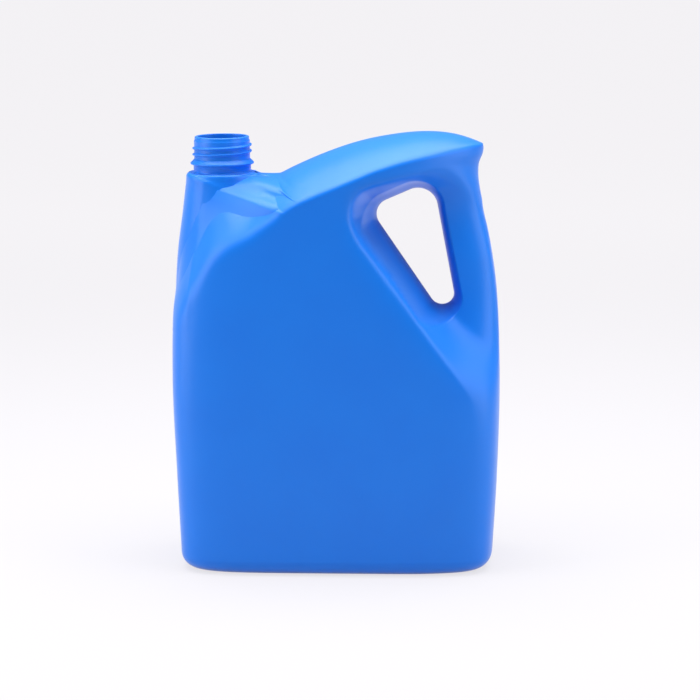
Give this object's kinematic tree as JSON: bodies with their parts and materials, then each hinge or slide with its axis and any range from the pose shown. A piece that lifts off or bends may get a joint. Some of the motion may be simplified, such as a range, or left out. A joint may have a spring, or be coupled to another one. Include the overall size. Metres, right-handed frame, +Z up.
{
  "type": "lubricant bottle",
  "caption": "Hollow blow-moulded jerry bottle with a sloping roof, an offset screw neck and a moulded-through side handle.",
  "frame": {"origin": "centre of the standing base, on the surface it stands on", "axes": "+Z up through the standing bottle, +X from the neck side to the handle side, -Y out of the front face; the parting plane is Y = 0"},
  "size_m": [0.206, 0.1042, 0.2738],
  "materials": {
    "hdpe": "satin blue polyethylene, coloured through"
  },
  "bodies": {
    "root": {"bottle": "hdpe"}
  },
  "joints": []
}
